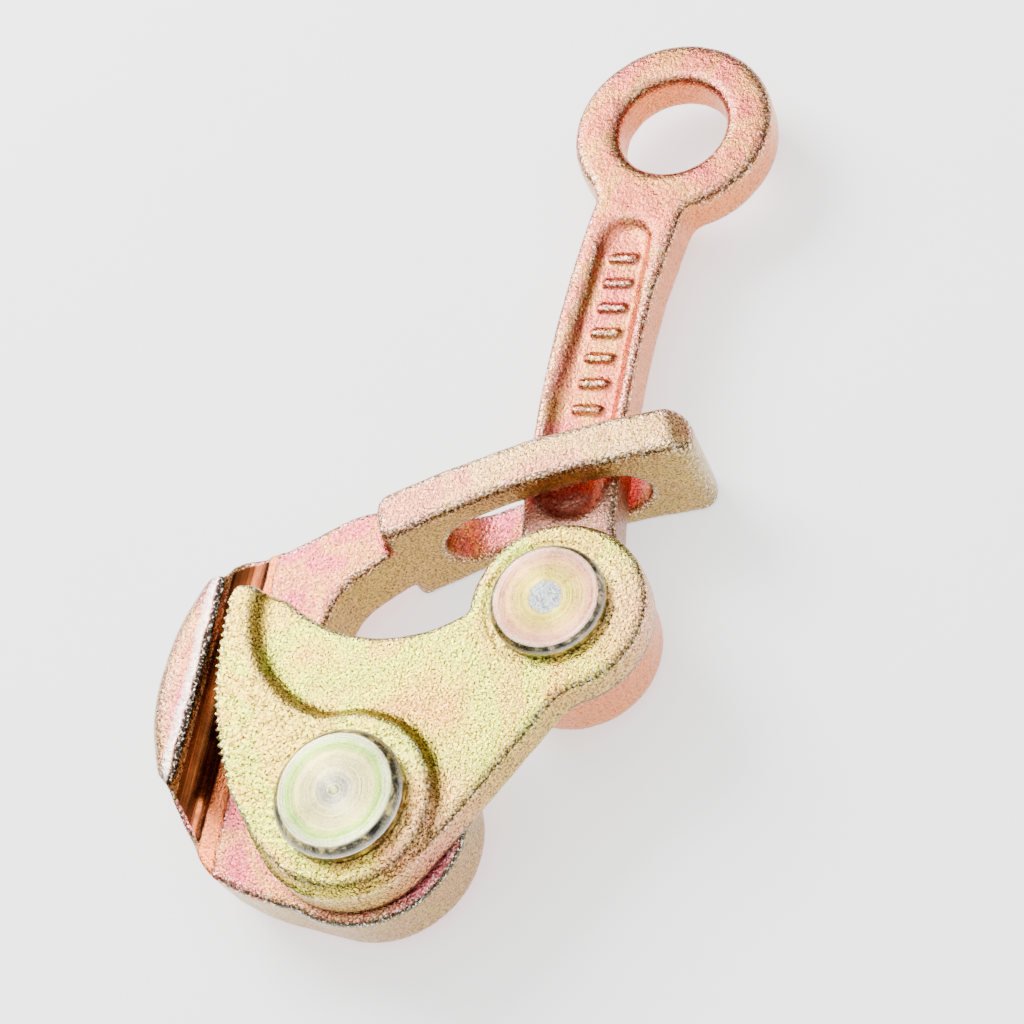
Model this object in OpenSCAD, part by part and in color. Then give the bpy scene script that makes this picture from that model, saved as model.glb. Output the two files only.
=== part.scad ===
// Wire rope grip: a forged frame with a grooved fixed jaw and a guide loop, a toothed cam
// lever that turns on the main pin, and a pull bar with an eye that turns on the link pin.
// The origin is on the rope's centreline abreast of the main pin. +X is the way the rope and
// the eye pull, +Y goes from the pins to the rope, and +Z is up to the heads of the pins.

/* [Rope] */
// Diameter of the largest rope that the jaw takes
rope_d = 10; // [8:0.5:10]
// Distance from the main pin's axis to the rope's centreline
pin_to_rope = 30.8; // [30.4:0.1:31.2]
// Height of the rope's centreline over the back of the frame's plate
rope_z = 17; // [16.8:0.1:17.4]

/* [Frame] */
// Thickness of the frame's plate
plate_t = 13; // [12:0.5:13]
// Radius of the frame's boss round the main pin
boss_r = 18.5; // [17.5:0.5:19]
// Height of the fixed jaw's lip over the back of the plate
lip_z = 23; // [22.8:0.1:24]
// Distance from the main pin's axis to the lip's inner edge
pin_to_lip = 29.9; // [29.8:0.1:30.4]

/* [Guide loop] */
// Length of the slot that the pull bar slides in
slot_len = 36.4; // [36:0.1:37]
// Height of the slot
slot_h = 13; // [12.5:0.1:13.4]
// Thickness of the wall in front of the slot
front_wall = 6.1; // [5:0.1:7]
// Thickness of the wall behind the slot
back_wall = 4.3; // [3.5:0.1:5.5]

/* [Cam lever] */
// Thickness of the lever's web
web_t = 7; // [6:0.5:7.5]
// Extra height of the toothed jaw and the pivot boss over the web
step_h = 2.2; // [1.5:0.1:2.4]
// Number of teeth
teeth = 23; // [18:1:26]
// Depth of a tooth
tooth_h = 1.1; // [0.8:0.1:1.3]

/* [Pull bar] */
// Inner radius of the eye
eye_bore_r = 10.1; // [9:0.1:10.5]
// Outer radius of the eye
eye_r = 18.9; // [18.5:0.1:20]
// Thickness of the bar and of the eye
bar_t = 9.2; // [8.8:0.1:10.2]
// Width of the bar
bar_w = 16.9; // [16:0.1:17]
// Depth of the recessed panel on each face of the bar
panel_depth = 1.6; // [1:0.1:2]
// Number of raised ribs in each panel
ribs = 9; // [5:1:11]

/* [Pins] */
// Shank radius of the main pin
main_r = 7.5; // [7:0.1:8]
// Head radius of the main pin
main_head_r = 11.1; // [10.5:0.1:11.8]
// Head height of the main pin
main_head_h = 3.6; // [3:0.1:4]
// Shank radius of the link pin
link_r = 6.5; // [6:0.1:7]
// Head radius of the link pin
link_head_r = 10; // [9:0.1:10.8]
// Head height of the link pin
link_head_h = 2.7; // [2.2:0.1:3.2]
// Radial clearance of the turning fits
pin_gap = 0.06; // [0.03:0.01:0.1]

/* [Hidden] */
$fn = 96;

// Angle that one side of a rounded corner turns through
corner_step = 7;
// Gap between the plate and the lever, and at the ends of the pins
face_gap = 0.2;
end_gap = 0.15;
// Radius of the groove that the rope lies in
groove_r = rope_d / 2 + 0.2;

// Heights, over the back of the plate
lever_z = plate_t + face_gap;
web_z = lever_z + web_t;
cam_z = web_z + step_h;
slot_z = -0.5;
loop_back_z = slot_z - back_wall;
loop_front_z = slot_z + slot_h + front_wall;
bar_mid_z = 6.5;
bar_z = bar_mid_z - bar_t / 2;
bar_boss_z = -0.2;

// Places in plan, from the main pin's axis
link_at = [37.3, -27.8];
eye_at = [139.8, -29.9];
loop_at = [60, -20];
loop_turn = 21.5;
slot_turn = 8;

// The cam's pitch arc: the teeth's tips lie on it
cam_centre = [30.85, -29.5];
cam_r = 59;
cam_start = 120.3;
cam_turn = 33.2;

// The bar bows gently: its centreline is an arc with the centre far out to one side
bow_r = 248;
bow_centre = [84, -271.3];

link_boss_r = 15;
ear_at = [36.9, -29.1];
ear_r = 15.4;
spot_r = 11.5;
spot_depth = 0.25;
strip_depth = 0.35;
main_tail_r = 10;
main_tail_h = 2;
link_tail_r = 9;
link_tail_h = 1.6;
head_bevel = 0.9;
tail_bevel = 1.2;
seat_bevel = 0.3;
eye_bevel = 1.3;
rim_bevel = 1;
far = 200;
eps = 0.05;

function unit(v) = v / norm(v);

// Points of the arc that rounds corner b, between a and c, to radius r
function corner_arc(a, b, c, r) =
    let (
        u = unit(a - b),
        v = unit(c - b),
        half = acos(u * v) / 2,
        centre = b + unit(u + v) * r / sin(half),
        first = b + u * r / tan(half) - centre,
        last = b + v * r / tan(half) - centre,
        start = atan2(first[1], first[0]),
        turn = atan2(first[0] * last[1] - first[1] * last[0], first * last),
        count = max(1, ceil(abs(turn) / corner_step))
    )
    [for (i = [0:count]) centre + r * [cos(start + turn * i / count), sin(start + turn * i / count)]];

function flat(p) = [p[0], p[1]];

// Outline through corners given as [x, y, radius]
function rounded(corners) =
    let (last = len(corners) - 1)
    [
        for (i = [0:last])
            let (
                a = flat(corners[i == 0 ? last : i - 1]),
                b = flat(corners[i]),
                c = flat(corners[i == last ? 0 : i + 1]),
                r = corners[i][2]
            )
            each (r == 0 ? [b] : corner_arc(a, b, c, r))
    ];

// Point on the cam's pitch arc, sunk by depth, at a count of teeth from its start
function cam_point(count, depth) =
    let (angle = cam_start - cam_turn * count / teeth)
    cam_centre + (cam_r - depth) * [cos(angle), sin(angle)];

// Everything below is laid out from the main pin's axis at the back of the plate
module at_main_pin() {
    translate([0, -pin_to_rope, -rope_z]) children();
}

// Disc from z0 to z1 with a bevel round both of its edges
module bevelled_disc(r, z0, z1, bevel) {
    rotate_extrude()
        polygon([
            [0, z0],
            [r - bevel, z0],
            [r, z0 + bevel],
            [r, z1 - bevel],
            [r - bevel, z1],
            [0, z1]
        ]);
}

// ---- Frame ----

module frame_outline() {
    polygon(rounded([
        [-4, 0, 0],
        [-17.4, 2.4, 0],
        [-15.6, 16, 40],
        [-12.5, 25, 12],
        [-2.2, 34.2, 30],
        [13.5, 41, 24],
        [32, 39.6, 14],
        [46.2, 34, 4],
        [47.4, 26.4, 2],
        [55.4, 14.2, 12],
        [57.5, 7, 0],
        [52, 2, 0],
        [48, 5.2, 0],
        [41, 13.6, 12],
        [23, 16.8, 9],
        [17, 3, 0]
    ]));
}

// The fixed jaw's wall stands on the plate and narrows to a crescent at its lip
module jaw_wall() {
    module beyond_lip() {
        intersection() {
            children();
            translate([-far, pin_to_lip]) square([2 * far, far]);
        }
    }
    // An arc over the lip's straight inner edge, with its thin tips rounded off
    module lip_top() {
        offset(r = 1.6)
            offset(delta = -1.6)
                beyond_lip() translate([18.8, -1.1]) circle(r = 38.9);
    }
    linear_extrude(rope_z) beyond_lip() frame_outline();
    hull() {
        translate([0, 0, rope_z - eps])
            linear_extrude(eps) beyond_lip() frame_outline();
        translate([0, 0, lip_z - eps])
            linear_extrude(eps) lip_top();
    }
}

module loop_outline() {
    translate(loop_at)
        rotate(loop_turn)
            polygon(rounded([
                [-2, 28.2, 1.5],
                [6.9, 28.2, 3],
                [10.2, 0, 130],
                [6.8, -28.6, 4],
                [-2.2, -28.6, 3],
                [2, 0, 121]
            ]));
}

// The loop's free end leans back from its front face
module loop_end_bevel() {
    translate([loop_at[0], loop_at[1], loop_front_z])
        rotate([0, 0, loop_turn])
            translate([-far / 2, -25, 0])
                rotate([35, 0, 0])
                    translate([0, -far, 0]) cube([far, far, far]);
}

// The slot has round ends and runs through the loop nearly along the bar
module guide_slot() {
    end_r = slot_h / 2;
    reach = slot_len / 2 - end_r;
    depth = 44;
    translate([loop_at[0], loop_at[1], slot_z + end_r])
        rotate([0, 0, slot_turn])
            translate([-depth / 2, 0.6, 0]) {
                for (side = [-1, 1])
                    translate([0, side * reach, 0])
                        rotate([0, 90, 0])
                            cylinder(r = end_r, h = depth);
                translate([0, -reach, -end_r]) cube([depth, 2 * reach, slot_h]);
            }
}

module rope_groove() {
    translate([-far / 2, pin_to_rope, rope_z])
        rotate([0, 90, 0])
            cylinder(r = groove_r, h = far);
    // shallow machined strip on the plate beside the groove
    translate([0, 0, plate_t - strip_depth])
        linear_extrude(far)
            polygon([[-20, 24], [60, 27.2], [60, 29], [-20, 29]]);
}

module frame() {
    color("#dba58c")
        at_main_pin()
            difference() {
                union() {
                    linear_extrude(plate_t) frame_outline();
                    cylinder(r1 = boss_r - 0.9, r2 = boss_r, h = plate_t);
                    jaw_wall();
                    translate([0, 0, loop_back_z])
                        linear_extrude(loop_front_z - loop_back_z)
                            loop_outline();
                }
                loop_end_bevel();
                guide_slot();
                rope_groove();
                translate([0, 0, -far / 2]) cylinder(r = main_r, h = far);
            }
}

// ---- Cam lever ----

// Plan of the toothed blade, from the corners of its heel round its teeth to its tip
module blade_outline(heel) {
    polygon([
        each rounded(heel),
        each [for (i = [0:teeth - 1]) each [cam_point(i, tooth_h), cam_point(i + 0.65, 0)]],
        each rounded([[35.4, 28.8, 0], [38, 28.4, 2.6], [35.6, 20.4, 0]])
    ]);
}

module lever_outline() {
    circle(r = 16.6);
    translate(ear_at) circle(r = ear_r);
    difference() {
        blade_outline([
            [36, -18, 0],
            [32, -24, 0],
            [27, -39, 0],
            [20.2, -31.8, 5],
            [-8.9, -14, 0],
            [-16.4, 2, 0],
            [-11.2, 12.4, 12],
            [0.3, 21.4, 0]
        ]);
        // hollow of the lever's edge that faces the eye
        translate([56.2, 2.5]) circle(r = 26.6);
    }
}

// The jaw and the pivot boss are thicker than the web: the step curves round two centres
module raised_jaw() {
    difference() {
        linear_extrude(step_h)
            blade_outline([
                [10, 0, 0],
                [-15, 0, 0],
                [-10.4, 11.9, 12],
                [0.8, 21.2, 0]
            ]);
        translate([34.4, 3.6, -eps]) cylinder(r1 = 19.3, r2 = 21.3, h = step_h + 2 * eps);
    }
    cylinder(r1 = 16, r2 = 14.8, h = step_h);
}

module cam_lever() {
    color("#dcd39a")
        at_main_pin()
            difference() {
                union() {
                    translate([0, 0, lever_z]) linear_extrude(web_t) lever_outline();
                    translate([0, 0, web_z]) raised_jaw();
                }
                translate([0, 0, lever_z - 1]) cylinder(r = main_r + pin_gap, h = far);
                translate([link_at[0], link_at[1], lever_z - 1]) cylinder(r = link_r, h = far);
                // spot face that the link pin's head sits on
                translate([link_at[0], link_at[1], web_z - spot_depth])
                    cylinder(r = spot_r, h = far);
            }
}

// ---- Pull bar ----

module shank_outline() {
    intersection() {
        translate(bow_centre)
            difference() {
                circle(r = bow_r + bar_w / 2, $fn = 360);
                circle(r = bow_r - bar_w / 2, $fn = 360);
            }
        translate([46, -60]) square([78, 80]);
    }
    // the bar widens to the boss round the link pin
    polygon(rounded([
        [link_at[0], link_at[1] + link_boss_r - 0.2, 0],
        [44, -14.6, 0],
        [52, -16.9, 10],
        [62, -15.4, 0],
        [62, -31.4, 0],
        [54, -34, 14],
        [46, -40, 0],
        [link_at[0], link_at[1] - link_boss_r + 0.2, 0]
    ]));
    // and it runs into the eye through two hollow corners
    polygon(rounded([
        [106, -16.2, 0],
        [123, -18.2, 8],
        [130.5, -15, 0],
        [130.5, -44.8, 0],
        [121.8, -35.2, 6],
        [106, -32.8, 0]
    ]));
}

// Recess with leaning walls, cut down from the bar's front face
module panel() {
    outline = [
        [57.5, -29.7, 5],
        [57.5, -19, 5],
        [78, -16.7, 60],
        [119.2, -20.7, 4.5],
        [119.2, -30.5, 4.5]
    ];
    hull() {
        translate([0, 0, bar_z + bar_t]) linear_extrude(eps) polygon(rounded(outline));
        translate([0, 0, bar_z + bar_t - panel_depth])
            linear_extrude(eps)
                offset(delta = -1.4) polygon(rounded(outline));
    }
}

// Plain rounded ribs that stand up from the panel's floor
module panel_ribs() {
    rib_w = 1.5;
    rib_h = 0.8;
    first_x = 69;
    pitch = 42 / (ribs - 1);
    for (i = [0:ribs - 1])
        translate([first_x + i * pitch, -23.4 - 0.045 * i * pitch, bar_z + bar_t - panel_depth - eps])
            linear_extrude(rib_h + eps) {
                translate([-rib_w / 2, -2]) square([rib_w, 4]);
                for (side = [-1, 1])
                    translate([0, side * 2]) circle(r = rib_w / 2);
            }
}

// Turns its children over to the bar's back face as well
module both_faces() {
    children();
    translate([0, 0, bar_z + bar_t / 2])
        mirror([0, 0, 1])
            translate([0, 0, -bar_z - bar_t / 2])
                children();
}

module pull_bar() {
    color("#e0b088")
        at_main_pin() {
            difference() {
                union() {
                    translate([0, 0, bar_z]) linear_extrude(bar_t) shank_outline();
                    translate(link_at)
                        bevelled_disc(link_boss_r, bar_boss_z, plate_t, 1);
                    translate(eye_at)
                        bevelled_disc(eye_r, bar_z, bar_z + bar_t, rim_bevel);
                }
                both_faces() panel();
                translate([link_at[0], link_at[1], -1]) cylinder(r = link_r + pin_gap, h = far);
                translate([eye_at[0], eye_at[1], -1]) cylinder(r = eye_bore_r, h = far);
                both_faces()
                    translate([eye_at[0], eye_at[1], bar_z + bar_t - eye_bevel])
                        cylinder(r1 = eye_bore_r, r2 = eye_bore_r + eye_bevel + eps, h = eye_bevel + eps);
            }
            both_faces() panel_ribs();
        }
}

// ---- Pins ----

// Pin with a bevelled head on seat_z and a peened tail on tail_z
module headed_pin(shank_r, head_r, head_h, seat_z, tail_r, tail_h, tail_z) {
    rotate_extrude()
        polygon([
            [0, tail_z - tail_h],
            [tail_r - tail_bevel, tail_z - tail_h],
            [tail_r, tail_z - tail_h + tail_bevel],
            [tail_r, tail_z],
            [shank_r, tail_z],
            [shank_r, seat_z],
            [head_r - seat_bevel, seat_z],
            [head_r, seat_z + seat_bevel],
            [head_r, seat_z + head_h - head_bevel],
            [head_r - head_bevel, seat_z + head_h],
            [0, seat_z + head_h]
        ]);
}

module main_pin() {
    color("#d9d2c0")
        at_main_pin()
            headed_pin(main_r, main_head_r, main_head_h, cam_z + end_gap,
                       main_tail_r, main_tail_h, 0);
}

module link_pin() {
    color("#e0c0b0")
        at_main_pin()
            translate(link_at)
                headed_pin(link_r, link_head_r, link_head_h, web_z - spot_depth,
                           link_tail_r, link_tail_h, bar_boss_z - end_gap);
}

frame();
cam_lever();
pull_bar();
main_pin();
link_pin();
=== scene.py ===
"""Looks of the wire rope grip: three forgings with a yellow zinc skin, and two turned pins.

The forgings are the CAD nodes with their edges rounded as a die leaves them. The pins are
turned again from profiles, so that their heads carry the tool's rings. Blender works in
metres. Names that end in _mm, the points given to functions and the places in materials are
in millimetres. The row origin is on the rope's axis.
"""
import math

import bpy
import numpy as np
from mathutils import Matrix, Vector


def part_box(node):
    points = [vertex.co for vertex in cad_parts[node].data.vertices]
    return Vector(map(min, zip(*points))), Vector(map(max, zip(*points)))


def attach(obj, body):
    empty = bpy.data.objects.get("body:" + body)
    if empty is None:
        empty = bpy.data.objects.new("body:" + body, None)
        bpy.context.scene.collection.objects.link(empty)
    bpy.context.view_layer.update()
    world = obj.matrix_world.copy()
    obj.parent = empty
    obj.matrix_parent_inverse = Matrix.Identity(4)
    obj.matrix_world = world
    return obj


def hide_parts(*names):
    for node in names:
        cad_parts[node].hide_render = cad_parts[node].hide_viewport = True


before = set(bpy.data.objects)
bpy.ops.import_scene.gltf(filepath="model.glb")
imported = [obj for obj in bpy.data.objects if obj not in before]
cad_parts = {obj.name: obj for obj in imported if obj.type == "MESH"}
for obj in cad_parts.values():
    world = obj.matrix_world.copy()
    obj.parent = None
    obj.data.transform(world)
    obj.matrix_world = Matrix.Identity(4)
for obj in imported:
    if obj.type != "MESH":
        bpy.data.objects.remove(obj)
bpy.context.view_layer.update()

MM = 0.001

# Places in the row frame, in millimetres, as in the CAD
MAIN_AXIS_MM = (0.0, -30.8)
LINK_AXIS_MM = (37.3, -58.6)
CAM_CENTRE_MM = (30.85, -60.3)
CAM_R_MM = 59.0
GROOVE_R_MM = 5.2
LIP_Y_MM = -0.9
LIP_MIDDLE_MM = 19.0
LIP_HALF_MM = 18.0
PLATE_TOP_MM = -4.0
LEVER_BACK_MM = -3.8
PANEL_X_MM = (66.0, 113.0)
PANEL_Y_MM = (-59.5, -50.5)
MAIN_BEVEL_MM = 1.4
LINK_BEVEL_MM = 1.0
LINK_CENTRE_R_MM = 2.9

# A pin head's corner: how far in from its edge and down from its top, in bevels
HEAD_CORNER = (
    (0, 1.5),
    (0, 1.25),
    (0.03, 1.1),
    (0.12, 0.96),
    (0.5, 0.55),
    (0.86, 0.16),
    (0.98, 0.04),
    (1.15, 0),
)

# Edge rounding, as the spread of a blur in millimetres
DIE_EDGE_MM = 0.95
JAW_BACK_MM = 1.7
CUT_EDGE_MM = 0.16
STRIP_EDGE_MM = 0.3
FACED_EDGE_MM = 0.4

# Colours of the film on each forging, from patch to patch
FRAME_FILM = ((0.84, 0.10, 0.20), (0.86, 0.16, 0.17), (0.88, 0.36, 0.12), (0.84, 0.13, 0.17))
LEVER_FILM = ((0.97, 0.50, 0.09), (0.97, 0.78, 0.06), (0.84, 0.90, 0.07), (0.97, 0.66, 0.08))
BAR_FILM = ((0.82, 0.15, 0.13), (0.82, 0.21, 0.11), (0.80, 0.34, 0.10), (0.82, 0.19, 0.11))
PINK = (0.97, 0.36, 0.22)
GOLD = (0.96, 0.68, 0.24)
RUST = (0.95, 0.45, 0.22)
# Painted shade: the dull colour of the bar under the guide loop
LOOP_SHADE_COLOUR = (0.30, 0.17, 0.13)
# Painted shade: the near-black colour of the gap under the lever
GAP_SHADE_COLOUR = (0.02, 0.015, 0.01)

# Rings of colour on the pin heads, from the axis out, as shares of RING_REACH_MM
RING_REACH_MM = 12
MAIN_RINGS = (
    (0.0, (0.80, 0.88, 0.20)),
    (0.2, (0.56, 0.52, 0.42)),
    (0.36, (0.92, 0.82, 0.36)),
    (0.58, (0.92, 0.78, 0.28)),
    (0.72, (0.50, 0.84, 0.10)),
    (0.79, (0.90, 0.92, 0.46)),
    (1.0, (0.92, 0.94, 0.66)),
)
LINK_RINGS = (
    (0.0, (0.90, 0.74, 0.14)),
    (0.42, (0.95, 0.72, 0.10)),
    (0.6, (0.95, 0.48, 0.18)),
    (0.74, (0.95, 0.44, 0.30)),
    (0.84, (0.92, 0.80, 0.56)),
    (1.0, (0.86, 0.86, 0.78)),
)

# ---- Meshes ----


def plan_distance(points, centre):
    """Distance in plan from a vertical axis, in millimetres."""
    return np.hypot(points[:, 0] - centre[0], points[:, 1] - centre[1])


def step(value, low, high):
    """0 below low, 1 above high and a smooth rise between."""
    t = np.clip((value - low) / (high - low), 0, 1)
    return t * t * (3 - 2 * t)


def remeshed(node, voxel_mm):
    """An even mesh of a CAD node, fine enough to round its edges on."""
    piece = bpy.data.objects.new(node + "_forging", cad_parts[node].data.copy())
    bpy.context.scene.collection.objects.link(piece)
    modifier = piece.modifiers.new("even", "REMESH")
    modifier.mode = "VOXEL"
    modifier.voxel_size = voxel_mm * MM
    graph = bpy.context.evaluated_depsgraph_get()
    mesh = bpy.data.meshes.new_from_object(piece.evaluated_get(graph))
    piece.modifiers.clear()
    piece.data = mesh
    mesh.materials.clear()
    return piece


def read_points(mesh):
    """A mesh's vertices as rows of x, y and z in millimetres."""
    flat = np.empty(len(mesh.vertices) * 3)
    mesh.vertices.foreach_get("co", flat)
    return flat.reshape(-1, 3) / MM


def write_points(mesh, points):
    mesh.vertices.foreach_set("co", (points * MM).ravel())
    mesh.update()


def read_normals(mesh):
    flat = np.empty(len(mesh.vertices) * 3)
    mesh.vertex_normals.foreach_get("vector", flat)
    return flat.reshape(-1, 3)


def relaxed(mesh, points, weight, rounds):
    """Points drawn to the middle of their neighbours, which rounds every edge a little."""
    ends = np.empty(len(mesh.edges) * 2, dtype=np.int64)
    mesh.edges.foreach_get("vertices", ends)
    a, b = ends[0::2], ends[1::2]
    size = len(points)
    count = np.bincount(ends, minlength=size)[:, None]
    points = points.copy()
    for _ in range(rounds):
        sums = [np.bincount(a, points[b, k], size) + np.bincount(b, points[a, k], size) for k in range(3)]
        points += weight[:, None] * (np.stack(sums, axis=1) / count - points)
    return points


def ripples(points, wavelength_mm, seed, waves=24):
    """Gentle unevenness: a sum of plane waves in seeded directions, within about -1 to 1."""
    rng = np.random.default_rng(seed)
    total = np.zeros(len(points))
    for _ in range(waves):
        direction = rng.normal(size=3)
        direction *= 2 * math.pi / (wavelength_mm * rng.uniform(0.7, 1.4) * np.linalg.norm(direction))
        total += np.sin(points @ direction + rng.uniform(0, 2 * math.pi))
    return total / math.sqrt(waves)


def store(mesh, name, values):
    """A number for each vertex, which the materials read by name."""
    mesh.attributes.new(name, "FLOAT", "POINT").data.foreach_set("value", values.astype(np.float32))


def forged(node, body, rounding, voxel_mm, seed):
    """A forging: every edge rounded by rounding(points) millimetres, its skin a little uneven."""
    piece = remeshed(node, voxel_mm)
    mesh = piece.data
    points = read_points(mesh)
    blur = rounding(points)
    # one pass at half weight spreads a point by half the mesh's pitch
    passes = math.ceil((2 * blur.max() / voxel_mm) ** 2)
    points = relaxed(mesh, points, 0.5 * (blur / blur.max()) ** 2, passes)
    write_points(mesh, points)

    normals = read_normals(mesh)
    wider = relaxed(mesh, points, np.full(len(points), 0.5), 16)
    bulge = np.einsum("ij,ij->i", points - wider, normals)
    uneven = 0.03 * ripples(points, 4.5, seed) * step(blur, 0.3, 0.8)
    write_points(mesh, points + normals * np.minimum(uneven, 0.02)[:, None])

    store(mesh, "bulge", np.clip(0.5 + bulge / 0.2, 0, 1))
    wall = 1 - np.abs(normals[:, 2])
    store(mesh, "wall", wall)
    # Painted shade: marks the gap under the lever, which is painted near black
    store(mesh, "gap_shade", step(wall, 0.08, 0.3) * gap_shade(points))
    for polygon in mesh.polygons:
        polygon.use_smooth = True
    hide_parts(node)
    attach(piece, body)
    return piece


def gap_shade(points):
    """1 in the narrow gap between the lever and the bosses under it, where the gap's shade is painted near
    black.
    """
    near = 1 - step(np.abs(points[:, 2] - 0.5 * (PLATE_TOP_MM + LEVER_BACK_MM)), 0.8, 1.8)
    at_main = plan_distance(points, MAIN_AXIS_MM) < 20
    at_link = plan_distance(points, LINK_AXIS_MM) < 17
    return near * (at_main | at_link)


def blush(points):
    """Up to 1 where the film turned pink beside the lever's two bosses."""
    spots = ((-3, -46, 9), (38, -73, 9))
    return sum(np.exp(-((plan_distance(points, (x, y)) / reach) ** 2)) for x, y, reach in spots)


def gilt(points):
    """Up to 1 on the guide loop, and less on the jaw's back, where the film turned gold."""
    on_loop = step(points[:, 2], -2.0, 1.0) * step(points[:, 0], 38, 43)
    return np.maximum(on_loop, 0.65 * step(points[:, 1], 1.5, 5))


def under_loop(points):
    """Up to 1 on the part of the bar that the guide loop keeps in the dark."""
    return 0.8 * step(points[:, 0], 50, 54) * (1 - step(points[:, 0], 64, 68))


def lip_edge(points):
    """Distance from the lip's inner edge out over its top, in millimetres, and 9 elsewhere."""
    on_lip = (points[:, 2] > 2) & (points[:, 1] > -3)
    return np.where(on_lip, points[:, 1] - LIP_Y_MM, 9)


def cut_strip(points):
    """Distance inside the wedge that is cut beside the groove, across it, in millimetres."""
    x, y, z = points.T
    on_plate = (np.abs(z - PLATE_TOP_MM + 0.2) < 0.5) & (y < -1.5)
    return np.where(on_plate, y - 0.04 * x + 6.0, -9)


def frame_rounding(points):
    """The groove and the face under the lever are cut; the jaw's back is rounded most."""
    x, y, z = points.T
    from_rope = np.hypot(y, z)
    jaw = step(from_rope, GROOVE_R_MM + 0.5, GROOVE_R_MM + 2.5) * step(y, -1.5, 1.5) * (x < 50)
    blur = DIE_EDGE_MM + (JAW_BACK_MM - DIE_EDGE_MM) * jaw
    in_groove = (from_rope < GROOVE_R_MM + 0.45) * (z < 2.5)
    # the groove's own edges at both ends of the jaw are rounded, row by row around it
    rows = np.floor(np.degrees(np.arctan2(z, y)) / 5.5).astype(int)
    for row in np.unique(rows[in_groove]):
        chosen = in_groove & (rows == row)
        ends = x[chosen].min(), x[chosen].max()
        in_groove &= ~chosen | ((x > ends[0] + 1.6) & (x < ends[1] - 1.6))
    blur = np.where(in_groove, CUT_EDGE_MM, blur)
    # the thin tips at both ends of the lip are drawn in
    from_middle = np.abs(x - LIP_MIDDLE_MM) - LIP_HALF_MM
    tip = step(from_middle, -1.5, 1.5) * (z > 2) * (np.abs(y) < 3)
    blur = np.maximum(blur, JAW_BACK_MM * tip)
    blur = np.where(cut_strip(points) > -0.8, np.minimum(blur, STRIP_EDGE_MM), blur)
    under_lever = (np.abs(z - PLATE_TOP_MM) < 0.3) * (plan_distance(points, MAIN_AXIS_MM) < 17)
    return np.where(under_lever, FACED_EDGE_MM, blur)


def lever_rounding(points):
    """The teeth, the bores and the spot face stay as cut."""
    beyond = plan_distance(points, CAM_CENTRE_MM) - CAM_R_MM
    on_teeth = step(beyond, -2.6, -1.4) * (points[:, 0] < 36.6)
    blur = 1.0 - 0.86 * on_teeth
    blur = np.where(np.abs(plan_distance(points, LINK_AXIS_MM) - 10) < 2.2, 0.35, blur)
    blur = np.where(plan_distance(points, MAIN_AXIS_MM) < 9, 0.3, blur)
    return np.where(points[:, 2] < LEVER_BACK_MM + 0.3, np.minimum(blur, 0.6), blur)


def bar_rounding(points):
    """The ribs in the panels are rounded less than the rest."""
    x, y, z = points.T
    along = (x > PANEL_X_MM[0]) & (x < PANEL_X_MM[1])
    across = (y > PANEL_Y_MM[0]) & (y < PANEL_Y_MM[1])
    on_boss = (plan_distance(points, LINK_AXIS_MM) < 14) & (z > PLATE_TOP_MM - 0.4)
    return np.where(on_boss, FACED_EDGE_MM, np.where(along & across, 0.42, 1.0))


def turned(name, profile_mm, axis_mm, segments=160):
    """A body of revolution about a vertical axis, from [radius, height] corners."""
    profile = np.array(profile_mm)
    angles = np.linspace(0, 2 * math.pi, segments, endpoint=False)
    verts, rows = [], []
    for radius, height in profile:
        if radius == 0:
            rows.append([len(verts)] * segments)
            verts.append((axis_mm[0], axis_mm[1], height))
        else:
            rows.append(list(range(len(verts), len(verts) + segments)))
            verts += [
                (axis_mm[0] + radius * math.cos(a), axis_mm[1] + radius * math.sin(a), height)
                for a in angles
            ]
    faces = []
    for low, high in zip(rows, rows[1:]):
        for i in range(segments):
            j = (i + 1) % segments
            corners = [low[i], low[j], high[j], high[i]]
            faces.append(list(dict.fromkeys(corners)))
    mesh = bpy.data.meshes.new(name)
    mesh.from_pydata([Vector(v) * MM for v in verts], [], faces)
    mesh.update()
    for polygon in mesh.polygons:
        polygon.use_smooth = True
    piece = bpy.data.objects.new(name, mesh)
    bpy.context.scene.collection.objects.link(piece)
    return piece


def rounded_corner(centre, radius, start, end, count=6):
    """Points of an arc in the profile's plane, from start to end degrees."""
    angles = np.radians(np.linspace(start, end, count))
    return [(centre[0] + radius * math.cos(a), centre[1] + radius * math.sin(a)) for a in angles]


def facing_marks(edge_r_mm, top_mm, depth_mm, pitch_mm, seed, centre_r_mm, centre_depth_mm):
    """The head's face from its edge to its centre, with the rings that the tool left."""
    rng = np.random.default_rng(seed)
    points = []
    radius = edge_r_mm
    while radius > pitch_mm:
        dip = depth_mm * rng.uniform(0, 1) * (0.5 + 0.5 * math.sin(radius * 2.1))
        dish = centre_depth_mm * max(0.0, 1 - radius / centre_r_mm) if centre_r_mm else 0
        points.append((radius, top_mm - dip - dish))
        radius -= pitch_mm * rng.uniform(0.7, 1.3)
    points.append((0, top_mm - centre_depth_mm))
    return points


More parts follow.
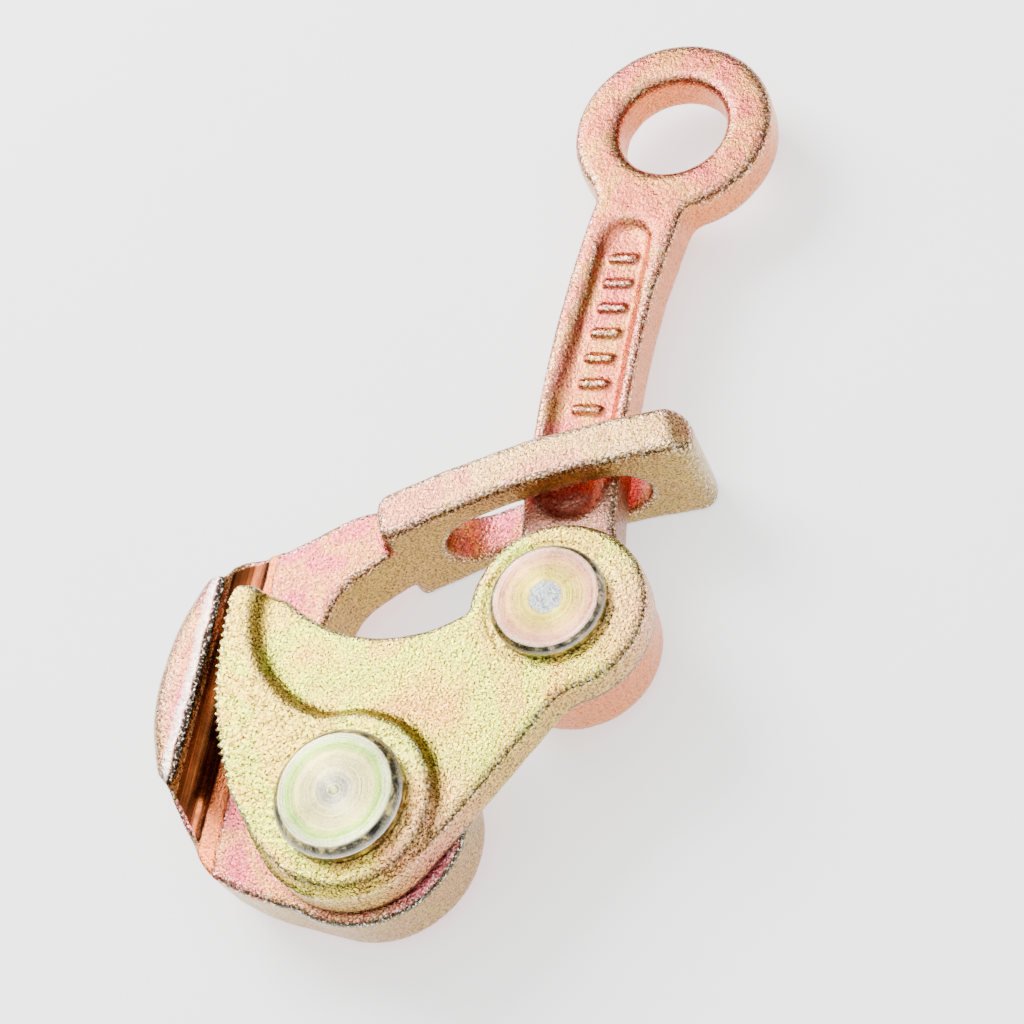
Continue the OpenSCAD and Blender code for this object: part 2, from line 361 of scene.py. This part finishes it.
def pin(node, body, axis_mm, shank_r, head_r, head_h, tail_h, bevel, marks):
    """A pin turned between the heights of its CAD node, with a bevelled head and a round tail.

    marks(radius, height) gives the profile of the head's face inside its bevel.
    """
    low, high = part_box(node)
    bottom, top = low.z / MM, high.z / MM
    seat = top - head_h
    tail_r = max(shank_r + 2.5, head_r - 1.05)
    profile = [(0, bottom)]
    profile += rounded_corner((tail_r - 1.1, bottom + 1.1), 1.1, -90, 0)
    profile += [(tail_r, bottom + tail_h), (shank_r, bottom + tail_h), (shank_r, seat)]
    profile += [(head_r - 0.4, seat)]
    profile += rounded_corner((head_r - 0.4, seat + 0.4), 0.4, -90, 0, 4)[1:]
    profile += [(head_r - inward * bevel, top - down * bevel) for inward, down in HEAD_CORNER]
    profile += marks(head_r - 1.3 * bevel, top)
    piece = turned(node + "_turned", profile, axis_mm)
    normals, height = read_normals(piece.data), read_points(piece.data)[:, 2]
    side = step(1 - np.abs(normals[:, 2]), 0.06, 0.22)
    from_rim = np.abs(height - height.max() + 1.08 * bevel)
    store(piece.data, "side", side)
    # Painted highlight: marks a pale line round the head where the bevel meets the side
    store(piece.data, "rim_highlight", side * (1 - step(from_rim, 0.1, 0.3)))
    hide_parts(node)
    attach(piece, body)
    return piece


# ---- Materials ----


class Graph:
    """A material's node tree. Inputs are given by name, as a value or as another socket."""

    def __init__(self, name):
        self.material = bpy.data.materials.new(name)
        self.material.use_nodes = True
        self.tree = self.material.node_tree
        self.tree.nodes.clear()
        self.output = self.tree.nodes.new("ShaderNodeOutputMaterial")
        self.shader = self.tree.nodes.new("ShaderNodeBsdfPrincipled")
        self.tree.links.new(self.shader.outputs[0], self.output.inputs[0])

    def put(self, socket, value):
        if isinstance(value, bpy.types.NodeSocket):
            self.tree.links.new(value, socket)
        else:
            socket.default_value = value

    def node(self, kind, inputs=(), out=0, **settings):
        made = self.tree.nodes.new("ShaderNode" + kind)
        for key, value in settings.items():
            setattr(made, key, value)
        for key, value in dict(inputs).items():
            self.put(made.inputs[key], value)
        return made.outputs[out]

    def shade(self, **inputs):
        for key, value in inputs.items():
            self.put(self.shader.inputs[key.replace("_", " ")], value)

    def math(self, operation, a, b=0.0):
        return self.node("Math", {0: a, 1: b}, operation=operation)

    def times(self, a, b):
        return self.math("MULTIPLY", a, b)

    def plus(self, a, b):
        return self.math("ADD", a, b)

    def ramp(self, factor, stops):
        """Colour or grey by factor, from (position, value) stops."""
        made = self.tree.nodes.new("ShaderNodeValToRGB")
        bands = made.color_ramp.elements
        while len(bands) < len(stops):
            bands.new(0.5)
        for band, (position, value) in zip(bands, stops):
            band.position = position
            band.color = (value, value, value, 1) if isinstance(value, float) else (*value, 1)
        self.put(made.inputs[0], factor)
        return made.outputs[0]

    def mix(self, factor, a, b, blend="MIX"):
        made = self.tree.nodes.new("ShaderNodeMix")
        made.data_type = "RGBA"
        made.blend_type = blend
        self.put(made.inputs[0], factor)
        for socket, value in ((made.inputs[6], a), (made.inputs[7], b)):
            self.put(socket, (*value, 1) if isinstance(value, tuple) else value)
        return made.outputs[2]

    def place_mm(self):
        """Where the surface is, in millimetres in the row frame."""
        coordinates = self.node("TexCoord", out=3)
        return self.node("VectorMath", {0: coordinates, 3: 1 / MM}, operation="SCALE")

    def noise(self, vector, scale, detail=2.0, roughness=0.5, distortion=0.0):
        inputs = {"Vector": vector, "Scale": scale, "Detail": detail}
        inputs.update({"Roughness": roughness, "Distortion": distortion})
        return self.node("TexNoise", inputs)

    def corner_shade(self, reach_mm):
        """Low in the corners and narrow gaps, where shade is painted into the colour."""
        return self.node("AmbientOcclusion", {"Distance": reach_mm * MM}, out=1, samples=6)

    def attribute(self, name):
        return self.node("Attribute", attribute_name=name, out=2)

    def bump(self, height, distance_mm, strength=1.0):
        inputs = {"Height": height, "Distance": distance_mm * MM, "Strength": strength}
        return self.node("Bump", inputs)


def zinc_colour(graph, place, palette, wall_shade_tint, corner_shade_tint, grain_amount):
    """The patchy colours of a yellow chromate film, speckled all over, with painted shade: browner and
    mostly darker on the walls, dull under the guide loop and dark in corners and gaps.
    """
    patches = graph.noise(place, 0.045, 3.0, 0.55, 0.6)
    colour = graph.ramp(patches, [(0.36 + 0.07 * i, tint) for i, tint in enumerate(palette)])
    less_gold = graph.ramp(patches, [(0.4, 0.8), (0.6, 0.35)])
    colour = graph.mix(graph.times(graph.attribute("gilt"), less_gold), colour, GOLD)
    # Painted shade: the walls are tinted browner and mostly darker than the tops
    colour = graph.mix(graph.times(graph.attribute("wall"), 0.9), colour, wall_shade_tint)
    less_pink = graph.ramp(patches, [(0.35, 1.0), (0.62, 0.5)])
    colour = graph.mix(graph.times(graph.attribute("blush"), less_pink), colour, PINK)
    # Painted shade: the bar under the guide loop is dulled
    colour = graph.mix(graph.attribute("shade"), colour, LOOP_SHADE_COLOUR)
    smears = graph.ramp(graph.noise(place, 0.5, 4.0, 0.6), [(0.35, 0.0), (0.7, 1.0)])
    colour = graph.mix(graph.times(smears, 0.15), colour, RUST)
    grain = graph.ramp(graph.noise(place, 2.5, 2.0, 0.6), [(0.36, 0.03), (0.49, 0.7), (0.62, 1.2)])
    colour = graph.mix(grain_amount, colour, grain, "MULTIPLY")
    # Painted shade: corners and narrow gaps are tinted towards a dark colour and darkened
    corner_shade = graph.corner_shade(2.0)
    colour = graph.mix(graph.ramp(corner_shade, [(0.25, 0.75), (0.7, 0.0)]), colour, corner_shade_tint)
    colour = graph.mix(1.0, colour, graph.ramp(corner_shade, [(0.0, 0.1), (0.4, 1.0)]), "MULTIPLY")
    # Painted shade: the gap between the lever and the bosses under it is painted near black
    return graph.mix(graph.attribute("gap_shade"), colour, GAP_SHADE_COLOUR)


def zinc_bump(graph, place, depth_mm):
    """Orange peel a little over half a millimetre across, with a finer grit on it."""
    peel = graph.noise(place, 1.6, 1.5, 0.5)
    grit = graph.noise(place, 3.4, 2.0, 0.6)
    return graph.bump(graph.plus(peel, graph.times(grit, 0.6)), depth_mm)


def zinc(name, palette, wall_shade_tint, corner_shade_tint, depth_mm=0.2, grain_amount=0.8):
    """A forging's skin under yellow zinc plate."""
    graph = Graph(name)
    place = graph.place_mm()
    colour = zinc_colour(graph, place, palette, wall_shade_tint, corner_shade_tint, grain_amount)
    # Bulging edges get dark and pale flecks: partly wear, partly painted dark reflections and painted
    # glints
    wear_and_painted_light = graph.ramp(graph.attribute("bulge"), [(0.6, 0.0), (0.85, 1.0)])
    fleck = graph.noise(place, 2.3, 3.0, 0.65, 0.4)
    dark = graph.ramp(fleck, [(0.43, 1.0), (0.5, 0.0)])
    pale = graph.ramp(fleck, [(0.55, 0.0), (0.63, 1.0)])
    colour = graph.mix(graph.times(wear_and_painted_light, dark), colour, (0.12, 0.09, 0.05))
    colour = graph.mix(graph.times(wear_and_painted_light, pale), colour, (0.98, 0.94, 0.78))
    rough = graph.ramp(graph.noise(place, 0.8, 3.0), [(0.3, 0.2), (0.7, 0.34)])
    normal = zinc_bump(graph, place, depth_mm)
    graph.shade(Base_Color=colour, Metallic=1.0, Roughness=rough, Normal=normal)
    return graph


def frame_material():
    """Zinc skin, with the cut groove in bare copper brown along the rope."""
    # The last two colours are the painted shade on the walls and in the corners
    graph = zinc("zinc_frame", FRAME_FILM, (0.42, 0.30, 0.04), (0.24, 0.14, 0.07))
    place = graph.place_mm()
    skin = graph.shader.inputs
    across = graph.node("VectorMath", {0: place, 1: (0, 1, 1)}, operation="MULTIPLY")
    radius = graph.node("VectorMath", {0: across}, operation="LENGTH", out=1)
    flat = graph.ramp(graph.attribute("bulge"), [(0.58, 1.0), (0.7, 0.0)])
    in_groove = graph.times(graph.math("LESS_THAN", radius, GROOVE_R_MM + 0.25), flat)
    toward_jaw = graph.node("SeparateXYZ", {0: place}, out=1)
    in_groove = graph.times(in_groove, graph.math("LESS_THAN", toward_jaw, 3.6))
    streaks = graph.node("Mapping", {"Vector": place, "Scale": (0.02, 1.4, 1.4)})
    lines = graph.noise(streaks, 1.0, 5.0, 0.7)
    stains = graph.noise(place, 0.12, 3.0)
    browns = [(0.3, (0.06, 0.012, 0.004)), (0.5, (0.24, 0.055, 0.014)), (0.72, (0.66, 0.20, 0.05))]
    copper = graph.ramp(lines, browns)
    copper = graph.mix(graph.ramp(stains, [(0.4, 0.0), (0.65, 0.7)]), copper, (0.04, 0.012, 0.006))
    colour = skin["Base Color"].links[0].from_socket

    # The lip's edge over the rope is painted dark, partly as wear and partly as painted shade of its inner
    # wall, with a painted highlight as a bright line where it turns flat
    # Ramps run from 0 to 1, so the distance from the edge is in centimetres here
    stray = graph.math("SUBTRACT", graph.times(graph.noise(place, 0.22, 3.0), 0.14), 0.07)
    lip = graph.plus(graph.times(graph.attribute("lip"), 0.1), stray)
    fleck = graph.noise(place, 1.9, 3.0, 0.65, 0.4)
    wear_and_painted_light = [(0.5, (0.02, 0.014, 0.011)), (0.57, (0.16, 0.11, 0.08)), (0.65, (0.9, 0.78, 0.62))]
    dark = graph.ramp(fleck, wear_and_painted_light)
    colour = graph.mix(graph.ramp(lip, [(0.15, 1.0), (0.2, 0.0)]), colour, dark)
    # Painted highlight: a near-white line beside the dark band
    lip_highlight = graph.ramp(lip, [(0.17, 0.0), (0.2, 0.75), (0.23, 0.7), (0.37, 0.0)])
    colour = graph.mix(lip_highlight, colour, (1.0, 0.97, 0.90))

    # A shallow cut strip lies along the groove on the plate's side
    colour = graph.mix(graph.times(graph.attribute("strip"), 0.85), colour, (0.90, 0.24, 0.06))
    colour = graph.mix(in_groove, colour, copper)
    blended = graph.node("Mix", {0: in_groove}, out=1, data_type="VECTOR")
    graph.put(blended.node.inputs[4], skin["Normal"].links[0].from_socket)
    graph.put(blended.node.inputs[5], graph.bump(lines, 0.06, 0.8))
    graph.shade(Base_Color=colour, Normal=blended)
    return graph.material


def pin_material(name, axis_mm, rings, side_shade_tint, centre_r_mm=0.0):
    """Turned zinc: rings of thin colour about the axis, and a rough grey centre if it has one."""
    graph = Graph(name)
    place = graph.place_mm()
    offset = graph.node("VectorMath", {0: place, 1: (*axis_mm, 0)}, operation="SUBTRACT")
    plan = graph.node("VectorMath", {0: offset, 1: (1, 1, 0)}, operation="MULTIPLY")
    radius = graph.node("VectorMath", {0: plan}, operation="LENGTH", out=1)
    wobble = graph.times(graph.noise(place, 0.25, 2.0), 1.2)
    colour = graph.ramp(graph.times(graph.plus(radius, wobble), 1 / RING_REACH_MM), rings)

    # The tool's own fine rings
    wander = graph.plus(radius, graph.times(graph.noise(place, 0.3, 2.0), 0.5))
    tool = graph.node("TexNoise", {"W": graph.times(wander, 3.2), "Detail": 3.0}, noise_dimensions="1D")
    colour = graph.mix(0.8, colour, graph.ramp(tool, [(0.3, 0.2), (0.46, 0.8), (0.6, 1.1)]), "MULTIPLY")
    speck = graph.noise(place, 2.2, 3.0, 0.7)
    colour = graph.mix(0.5, colour, graph.ramp(speck, [(0.34, 0.4), (0.46, 0.95), (0.6, 1.1)]), "MULTIPLY")

    # Painted shade: the head's side is painted darker, in blotches, for the shade and dark reflections it
    # shows
    blotch = graph.noise(place, 0.32, 5.0, 0.75, 0.5)
    edge = graph.ramp(blotch, [(0.4, (0.03, 0.028, 0.024)), (0.52, (0.2, 0.18, 0.12)), (0.6, side_shade_tint)])
    colour = graph.mix(graph.attribute("side"), colour, edge)
    # Painted highlight: a pale line round the head where the bevel meets the side
    colour = graph.mix(graph.attribute("rim_highlight"), colour, (0.9, 0.86, 0.74))
    rough = graph.ramp(speck, [(0.3, 0.2), (0.7, 0.36)])
    height = graph.plus(tool, graph.times(speck, 0.5))
    if centre_r_mm:
        ragged = graph.plus(radius, graph.times(graph.noise(place, 0.9, 3.0), 0.9))
        centre = graph.math("LESS_THAN", ragged, centre_r_mm + 0.45)
        greys = [(0.35, (0.30, 0.31, 0.32)), (0.65, (0.78, 0.79, 0.80))]
        colour = graph.mix(centre, colour, graph.ramp(graph.noise(place, 2.6, 2.0), greys))
        height = graph.plus(height, graph.times(graph.times(speck, centre), 3.0))
    graph.shade(Base_Color=colour, Metallic=1.0, Roughness=rough, Normal=graph.bump(height, 0.05))
    return graph.material


def floor_material():
    graph = Graph("pale_floor")
    place = graph.place_mm()
    whites = [(0.3, (0.93, 0.93, 0.93)), (0.7, (0.96, 0.96, 0.96))]
    colour = graph.ramp(graph.noise(place, 0.02, 3.0), whites)
    graph.shade(Base_Color=colour, Roughness=0.9, Emission_Color=(1, 1, 1, 1), Emission_Strength=1.2)
    return graph.material


# ---- The object ----

body_frame = forged("frame", "frame", frame_rounding, voxel_mm=0.34, seed=1)
points = read_points(body_frame.data)
store(body_frame.data, "lip", lip_edge(points))
store(body_frame.data, "gilt", gilt(points))
store(body_frame.data, "strip", step(cut_strip(points), -0.2, 0.2))
body_frame.data.materials.append(frame_material())

lever = forged("cam_lever", "cam_lever", lever_rounding, voxel_mm=0.28, seed=2)
store(lever.data, "blush", blush(read_points(lever.data)))
lever_skin = zinc(
    "zinc_lever",
    LEVER_FILM,
    wall_shade_tint=(0.66, 0.41, 0.08),
    corner_shade_tint=(0.37, 0.38, 0.20),
    depth_mm=0.18,
    grain_amount=0.95,
)
lever.data.materials.append(lever_skin.material)

bar = forged("pull_bar", "pull_bar", bar_rounding, voxel_mm=0.32, seed=3)
store(bar.data, "shade", under_loop(read_points(bar.data)))
bar_skin = zinc(
    "zinc_bar",
    BAR_FILM,
    wall_shade_tint=(0.80, 0.24, 0.07),
    corner_shade_tint=(0.23, 0.14, 0.10),
    depth_mm=0.17,
    grain_amount=0.55,
)
bar.data.materials.append(bar_skin.material)

main_pin = pin(
    "main_pin",
    "frame",
    MAIN_AXIS_MM,
    shank_r=7.5,
    head_r=11.1,
    head_h=3.6,
    tail_h=2.0,
    bevel=MAIN_BEVEL_MM,
    marks=lambda radius, top: facing_marks(
        radius, top, depth_mm=0.03, pitch_mm=0.16, seed=4, centre_r_mm=3.2, centre_depth_mm=0.12
    ),
)
main_pin.data.materials.append(pin_material("turned_main", MAIN_AXIS_MM, MAIN_RINGS, (0.80, 0.66, 0.22)))

link_pin = pin(
    "link_pin",
    "cam_lever",
    LINK_AXIS_MM,
    shank_r=6.5,
    head_r=10.0,
    head_h=2.7,
    tail_h=1.6,
    bevel=LINK_BEVEL_MM,
    marks=lambda radius, top: facing_marks(
        radius, top, depth_mm=0.025, pitch_mm=0.2, seed=5, centre_r_mm=LINK_CENTRE_R_MM, centre_depth_mm=0.1
    ),
)
link_pin.data.materials.append(
    pin_material("turned_link", LINK_AXIS_MM, LINK_RINGS, (0.85, 0.62, 0.36), centre_r_mm=LINK_CENTRE_R_MM)
)

# ---- Stage ----


def stage_floor(size=12.0, gap=0.0002):
    """A square floor just under the part."""
    half = size / 2
    under_part = min(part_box(node)[0].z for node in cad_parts) - gap
    corners = ((-half, -half), (half, -half), (half, half), (-half, half))
    mesh = bpy.data.meshes.new("floor")
    mesh.from_pydata([(x, y, under_part) for x, y in corners], [], [(0, 1, 2, 3)])
    mesh.materials.append(floor_material())
    floor = bpy.data.objects.new("floor", mesh)
    bpy.context.scene.collection.objects.link(floor)


def aim(thing, place, target):
    thing.location = place
    thing.rotation_euler = (Vector(target) - Vector(place)).to_track_quat("-Z", "Y").to_euler()


def area_light(name, direction, distance, size, power):
    """A square white light that faces the middle of the part."""
    lamp = bpy.data.lights.new(name, "AREA")
    lamp.size = size
    lamp.energy = power
    light = bpy.data.objects.new(name, lamp)
    bpy.context.scene.collection.objects.link(light)
    middle = Vector((0.06, -0.04, 0))
    aim(light, middle + Vector(direction).normalized() * distance, middle)


def studio_world():
    """White overhead and dim at the horizon, so that edges pick up dark reflections.

    Seen straight on, past the edge of the floor, it is as pale as the floor.
    """
    world = bpy.data.worlds.new("studio")
    bpy.context.scene.world = world
    world.use_nodes = True
    tree = world.node_tree
    background = tree.nodes["Background"]
    coordinates = tree.nodes.new("ShaderNodeTexCoord")
    parts = tree.nodes.new("ShaderNodeSeparateXYZ")
    ramp = tree.nodes.new("ShaderNodeValToRGB")
    bands = ramp.color_ramp.elements
    bands[0].position, bands[0].color = 0.5, (0.01, 0.01, 0.01, 1)
    bands[1].position, bands[1].color = 0.92, (1, 1, 1, 1)
    tree.links.new(coordinates.outputs["Generated"], parts.inputs[0])
    tree.links.new(parts.outputs["Z"], ramp.inputs[0])
    seen = tree.nodes.new("ShaderNodeLightPath")
    backdrop = tree.nodes.new("ShaderNodeMix")
    backdrop.data_type = "RGBA"
    tree.links.new(seen.outputs["Is Camera Ray"], backdrop.inputs[0])
    tree.links.new(ramp.outputs[0], backdrop.inputs[6])
    backdrop.inputs[7].default_value = (1.5, 1.5, 1.5, 1)
    tree.links.new(backdrop.outputs[2], background.inputs["Color"])
    background.inputs["Strength"].default_value = 2.6


def photo_camera():
    """The photograph's viewing angle: steeply from above, with the eye at the top."""
    camera = bpy.data.cameras.new("camera")
    camera.sensor_width = 36
    camera.lens = 84.1
    camera.clip_start = 0.01
    shot = bpy.data.objects.new("camera", camera)
    bpy.context.scene.collection.objects.link(shot)
    right = Vector((0.18420, -0.94053, -0.28544))
    up = Vector((0.89051, 0.03678, 0.45347))
    back = Vector((-0.41601, -0.33772, 0.84433))
    place = Vector((-114.72, -185.61, 345.08)) * MM
    turn = Matrix((right, up, back)).transposed().to_4x4()
    shot.matrix_world = Matrix.Translation(place) @ turn
    bpy.context.scene.camera = shot


stage_floor()
area_light("key", direction=(0.45, 0.60, 0.66), distance=0.8, size=0.45, power=13)
studio_world()
photo_camera()
